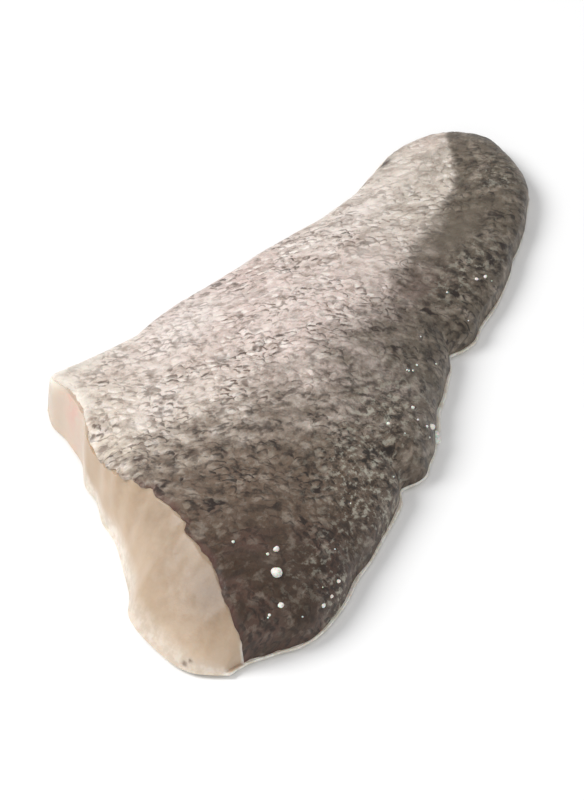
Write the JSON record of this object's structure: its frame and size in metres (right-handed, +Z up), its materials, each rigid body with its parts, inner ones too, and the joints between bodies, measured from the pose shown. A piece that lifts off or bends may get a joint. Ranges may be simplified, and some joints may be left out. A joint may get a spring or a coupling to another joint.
{
  "type": "hake fillet",
  "caption": "Skin-on fish fillet lying skin side up, thick behind a slanted knife cut at the head end, with a rolled belly lip, a thin ragged back edge and a blunt rounded tail.",
  "frame": {"origin": "under the middle of the fillet's box, on the plane that the flesh side rests on", "axes": "+X along the fillet towards the tail, +Y towards the belly edge, +Z up through the skin"},
  "size_m": [0.1998, 0.094, 0.0195],
  "materials": {
    "fillet_flesh": "cold cream-beige fish flesh, slightly moist, faintly translucent",
    "fillet_skin": "scaled silver-grey to brown-black fish skin, softly glossy",
    "frost": "small beads and crumbs of white ice"
  },
  "bodies": {
    "root": {"fillet": "fillet_flesh"}
  },
  "joints": []
}
